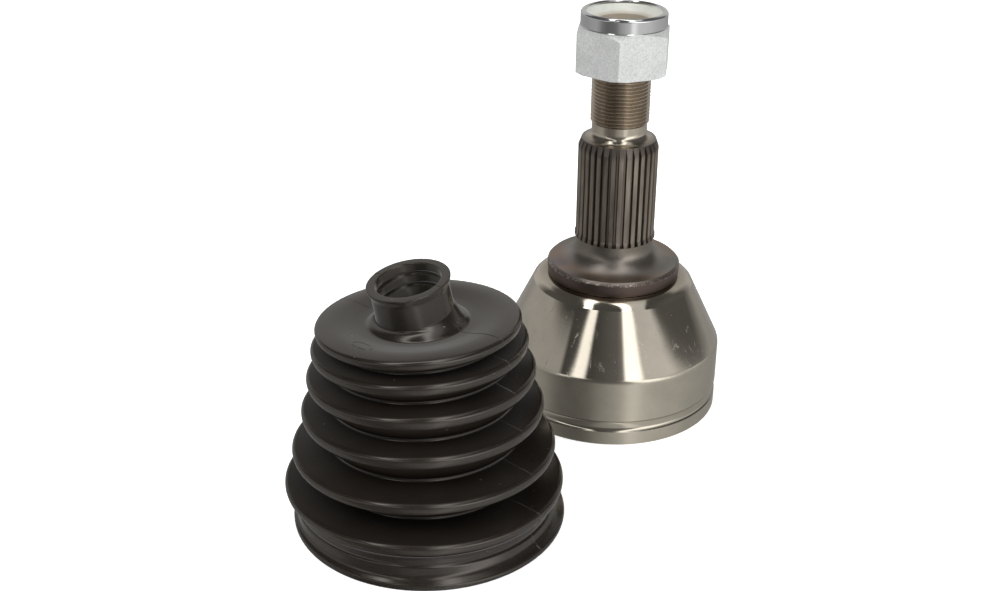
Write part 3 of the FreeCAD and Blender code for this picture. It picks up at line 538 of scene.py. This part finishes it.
def boot_rubber():
    """Glossy black-brown rubber with dust, painted shade in its corners and on the gloss of its
    undersides and fold tops, and a bare raised oval on the top plate.
    """
    rubber = Shader("boot_rubber")
    place = rubber.place()
    low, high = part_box("boot")
    x, y, z = rubber.split(place)

    def above(start, end):
        """Goes from 0 to 1 between two heights above the boot's foot, in mm."""
        return rubber.span(z, low.z + start * MM, low.z + end * MM)

    dust = rubber.span(rubber.noise(place, 480.0, 2.0, 0.5), 0.755, 0.78)
    colour = rubber.ramp(rubber.noise(place, 42.0, 5.0, 0.6), RUBBER)
    colour = rubber.mix(rubber.times(dust, 0.6), colour, DUST)
    rough = rubber.ramp(rubber.noise(place, 70.0, 4.0), [(0.3, 0.17), (0.7, 0.25)])
    fine = rubber.bump(rubber.noise(place, 2200.0, 2.0), 0.08, 0.03 * MM)
    wave = rubber.bump(rubber.noise(place, 60.0, 2.0), 0.12, 0.4 * MM, fine)

    reach = Vector((math.cos(OVAL_BEARING), math.sin(OVAL_BEARING))) * OVAL_REACH * MM
    ahead = rubber.minus(x, (low.x + high.x) / 2 + reach.x)
    aside = rubber.minus(y, (low.y + high.y) / 2 + reach.y)

    def squared_share(a, b, half):
        """Distance from the oval's centre along (a, b), as a share of half, squared."""
        part = rubber.plus(rubber.times(ahead, a), rubber.times(aside, b))
        part = rubber.maths("DIVIDE", part, half * MM)
        return rubber.times(part, part)

    turn_x, turn_y = math.cos(OVAL_BEARING), math.sin(OVAL_BEARING)
    apart = rubber.plus(
        squared_share(turn_x, turn_y, OVAL_HALF[0]), squared_share(-turn_y, turn_x, OVAL_HALF[1]))
    ridge = rubber.between(apart, (0.55, 0.75), (0.85, 1.05))
    ridge = rubber.times(ridge, above(70, 74))

    # painted shade: ambient occlusion halves the colour in tight corners and hollows. It also dims
    # the reflection there, together with a mask of downward-facing undersides and the folds' flat
    # upper faces. This stands in for the boot's own shadow and its mirror image in itself. The
    # cuff and collar keep more of the reflection.
    occlusion = rubber.node("AmbientOcclusion", samples=12)
    occlusion.inputs["Distance"].default_value = 35 * MM
    open_share = rubber.span(occlusion.outputs["AO"], 0.12, 0.68)
    upward = rubber.split(rubber.node("NewGeometry").outputs["Normal"])[2]
    ledge = rubber.times(rubber.span(upward, 0.80, 0.94), above(78, 76))
    unshaded_reflection = rubber.times(
        rubber.span(upward, -0.50, -0.10), rubber.minus(1.0, rubber.times(ledge, 0.85)))
    cuff_or_collar = rubber.plus(above(14, 11), above(81, 84))
    unshaded_reflection = rubber.maths("MAXIMUM", unshaded_reflection, rubber.times(cuff_or_collar, 0.60))

    # painted shade: the colour goes to half where the ambient occlusion finds a tight corner or
    # hollow
    shaded = rubber.tone(colour, (0.5, 0.5, 0.5))
    rubber.set(
        Base_Color=rubber.mix(open_share, shaded, colour), Roughness=rough,
        Normal=rubber.bump(ridge, 0.8, 0.3 * MM, wave),
        Specular_IOR_Level=rubber.times(open_share, unshaded_reflection), Specular_Tint=RUBBER_SHEEN)
    return rubber.data


def rounded(corners, steps=6):
    """A smooth polyline through (radius, height, fillet) corners."""
    points = []
    for number, (r, z, fillet) in enumerate(corners):
        corner = Vector((r, z))
        if number in (0, len(corners) - 1) or fillet <= 0:
            points.append(corner)
            continue
        before = Vector(corners[number - 1][:2]) - corner
        after = Vector(corners[number + 1][:2]) - corner
        reach = min(fillet, before.length * 0.499, after.length * 0.499)
        start = corner + before.normalized() * reach
        end = corner + after.normalized() * reach
        for step in range(steps + 1):
            t = step / steps
            points.append(start * (1 - t) ** 2 + corner * 2 * t * (1 - t) + end * t ** 2)
    return points


def boot_outside():
    """The outside's corners from the cuff's foot up to the hump around the collar."""
    corners = list(CUFF_OUTSIDE)
    for (rim, z), root in zip(reversed(RIMS), [*reversed(ROOTS), None]):
        corners.append((rim, z - BEAD, BEAD))
        corners.append((rim, z + (BEAD if root else TOP_BEAD), BEAD))
        if root:
            corners.append((root[0], root[1] - ROOT_STEP, ROOT_FILLET))
            corners.append((root[0] + ROOT_LEAN, root[1] + ROOT_STEP, ROOT_FILLET))
    return corners + TOP_PLATE


def boot_inside():
    """The inside's corners from the top plate down to the cuff's foot."""
    corners = [PLATE_INSIDE]
    for rim, root in zip(RIMS, [*ROOTS, None]):
        corners.append((rim[0] - RIM_WALL[0], rim[1] - RIM_WALL[1], WALL_FILLET))
        if root:
            corners.append((root[0] - ROOT_WALL[0], root[1] - ROOT_WALL[1], WALL_FILLET))
    return corners + CUFF_INSIDE


def boot_stations():
    """Rings of the boot as (radius, height, is it the collar's), once around its section."""
    stations = [(*point, False) for point in rounded(boot_outside())]
    stations += [(*point, True) for point in rounded(COLLAR, 4)]
    return stations + [(*point, False) for point in rounded(boot_inside(), 4)]


def boot_columns():
    """Angles around the boot, with extra columns close to the two parting lines."""
    angles = {2 * math.pi * step / COLUMNS for step in range(COLUMNS)}
    for line in PARTING:
        for halves in (-2, -1, -0.5, 0, 0.5, 1, 2):
            angles.add((line + halves * FLASH_HALF) % (2 * math.pi))
    return sorted(angles)


def flash_height(angle, z):
    """How far the moulding flash stands proud at that angle, in mm."""
    height = 0.0
    for line in PARTING:
        off = (angle - line + math.pi) % (2 * math.pi) - math.pi
        ragged = 0.6 + 0.8 * noise.noise(Vector((line, 0, z * 0.9)))
        height = max(height, max(0.0, 1 - abs(off) / FLASH_HALF) * FLASH_HEIGHT * ragged)
    return height


def sag(z):
    """The centre line's place and slope at a height above the boot's foot, in mm."""
    share = z / SAG_HEIGHT
    ease = min(1.0, max(0.0, z / FOOT_RISE))
    ease = ease * ease * (3 - 2 * ease)
    spot, slope = [], []
    for foot, (a, b, c) in ((FOOT_X, SAG_X), (FOOT_Y, SAG_Y)):
        spot.append(foot * (1 - ease) + (a + b * share + c * share * share) * ease)
        slope.append((b + 2 * c * share) / SAG_HEIGHT * ease)
    return spot, slope


def make_boot():
    low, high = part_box("boot")
    foot = Vector(((low.x + high.x) / 2, (low.y + high.y) / 2, low.z))
    stations = boot_stations()
    columns = boot_columns()
    tilt_axis = Vector((-math.sin(COLLAR_HEADING), math.cos(COLLAR_HEADING), 0))
    tilt = Matrix.Rotation(COLLAR_TILT, 3, tilt_axis)
    form = bmesh.new()
    rings = []
    for number, (r, z, on_collar) in enumerate(stations):
        before, after = stations[number - 1], stations[(number + 1) % len(stations)]
        along = Vector((after[0] - before[0], after[1] - before[1]))
        out = Vector((along.y, -along.x)).normalized() if along.length > 0 else Vector((1, 0))
        spot, slope = sag(z)
        ring = []
        for angle in columns:
            proud = flash_height(angle, z)
            radius, height = r + out.x * proud, max(0.0, z + out.y * proud)
            x, y = radius * math.cos(angle), radius * math.sin(angle)
            if on_collar:
                place = Vector(COLLAR_FOOT) + tilt @ Vector((x, y, height))
            else:
                leaning = height - slope[0] * x - slope[1] * y
                place = Vector((spot[0] + x, spot[1] + y, leaning))
            ring.append(form.verts.new(foot + place * MM))
        rings.append(ring)
    for ring, other in zip(rings, rings[1:] + rings[:1]):
        for c in range(len(columns)):
            d = (c + 1) % len(columns)
            form.faces.new((ring[c], ring[d], other[d], other[c]))
    bmesh.ops.recalc_face_normals(form, faces=form.faces)
    for face in form.faces:
        face.smooth = True
    boot = new_object("rubber_boot", mesh_from("rubber_boot", form))
    boot.data.materials.append(boot_rubber())
    # the bell mirrors the room as if the boot weren't there
    boot.visible_glossy = False
    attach(boot, "boot_body")
    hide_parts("boot")


# ---------------------------------------------------------------------------------------------
# Everything together
# ---------------------------------------------------------------------------------------------
def dress(node, material):
    mesh = NODES[node].data
    mesh.materials.clear()
    mesh.materials.append(material)


bpy.context.scene.view_settings.view_transform = "Standard"
add_camera()
set_world()
add_floor()
add_backdrop()
for light in LIGHTS:
    add_light(*light)
dress("outer_race", forged_steel())
dress("inner_race", plain_steel("race_steel", (0.45, 0.43, 0.40), 0.24))
dress("ball_cage", plain_steel("cage_steel", (0.22, 0.20, 0.19), 0.34))
dress("shaft_circlip", plain_steel("spring_steel", (0.16, 0.14, 0.13), 0.38))
ball_steel = plain_steel("ball_steel", (0.74, 0.74, 0.73), 0.07)
for number in range(1, 7):
    dress(f"ball_{number}", ball_steel)
dress("hub_nut", zinc_plate())
dress("nut_insert", nylon())
make_boot()
